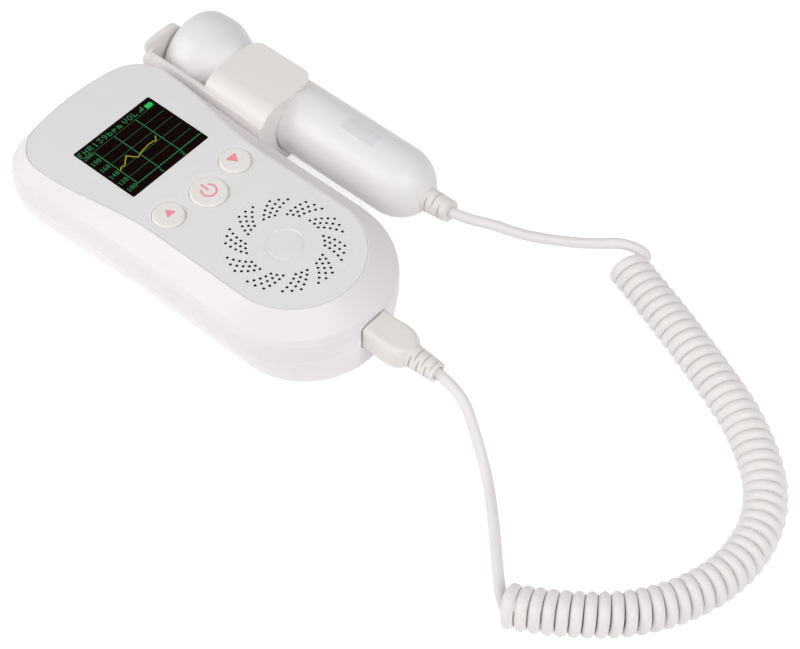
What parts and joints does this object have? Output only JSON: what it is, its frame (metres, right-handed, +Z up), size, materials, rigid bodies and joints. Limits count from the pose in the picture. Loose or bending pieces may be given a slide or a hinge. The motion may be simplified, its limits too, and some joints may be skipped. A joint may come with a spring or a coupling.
{
  "type": "fetal doppler monitor",
  "caption": "Hand-held fetal heartbeat monitor with a small screen, three push buttons, a speaker grille, and a corded probe clipped in a side holder.",
  "frame": {"origin": "on the resting surface under the middle of the hand unit", "axes": "+X towards the probe and its holder, +Y towards the screen end, +Z up out of the face"},
  "size_m": [0.1409, 0.2813, 0.0327],
  "materials": {
    "casing_white": "glossy moulded ABS",
    "panel_white": "satin front panel",
    "screen_black": "dark display window",
    "lcd_black": "black frame",
    "button_white": "satin caps with pink icons",
    "board_green": "solder-masked circuit board",
    "switch_metal": "tactile switch",
    "screw_steel": "zinc-plated screws",
    "speaker_steel": "black pressed steel",
    "cone_paper": "paper cone",
    "seal_rubber": "foam and filled rubber",
    "connector_metal": "nickel plated",
    "cell_wrap": "plain dark cell sleeve",
    "probe_white": "glossy moulded ABS",
    "lens_white": "acoustic window",
    "crystal": "silvered ceramic",
    "plug_ivory": "soft moulded grip",
    "cord_white": "satin PVC"
  },
  "bodies": {
    "unit": {"upper_housing": "casing_white", "lower_housing": "casing_white", "face_plate": "panel_white", "screen_lens": "screen_black", "lcd_module": "lcd_black", "main_board": "board_green", "board_chips": "lcd_black", "tactile_switches": "switch_metal", "board_screws": "screw_steel", "housing_screws": "screw_steel", "holder_screws": "screw_steel", "speaker_frame": "speaker_steel", "speaker_cone": "cone_paper", "speaker_magnet": "speaker_steel", "speaker_gasket": "seal_rubber", "probe_socket_shell": "connector_metal", "probe_socket_tongue": "lcd_black", "batteries": "cell_wrap", "battery_contacts": "connector_metal", "battery_springs": "connector_metal", "probe_holder": "casing_white", "plug_lead": "cord_white", "curly_cord": "cord_white", "probe_lead": "cord_white"},
    "power_button_body": {"power_button": "button_white"},
    "volume_up_button_body": {"volume_up_button": "button_white"},
    "volume_down_button_body": {"volume_down_button": "button_white"},
    "battery_cover_body": {"battery_cover": "casing_white"},
    "probe": {"probe_handle": "probe_white", "probe_head": "probe_white", "transducer_lens": "lens_white", "piezo_crystals": "crystal", "backing_block": "seal_rubber", "probe_board": "board_green", "probe_strain_relief": "cord_white"},
    "plug": {"plug_overmould": "plug_ivory", "plug_shell": "connector_metal", "plug_strain_relief": "cord_white"}
  },
  "joints": [
    {"name": "power_press", "type": "slide", "parent": "unit", "child": "power_button_body", "axis": [0, 0, -1], "range_m": [0, 0.0005], "stiffness_N_per_m": 400},
    {"name": "volume_up_press", "type": "slide", "parent": "unit", "child": "volume_up_button_body", "axis": [0, 0, -1], "range_m": [0, 0.0005], "stiffness_N_per_m": 400},
    {"name": "volume_down_press", "type": "slide", "parent": "unit", "child": "volume_down_button_body", "axis": [0, 0, -1], "range_m": [0, 0.0005], "stiffness_N_per_m": 400},
    {"name": "battery_cover_swing", "type": "hinge", "parent": "unit", "child": "battery_cover_body", "pos_m": [0, 0.0028, 0.0011], "axis": [-1, 0, 0], "range_deg": [0, 75]},
    {"name": "probe_out_of_holder", "type": "slide", "parent": "unit", "child": "probe", "axis": [1, 0, 0], "range_m": [0, 0.045]},
    {"name": "plug_unplug", "type": "slide", "parent": "unit", "child": "plug", "axis": [0, -1, 0], "range_m": [0, 0.0056]}
  ]
}
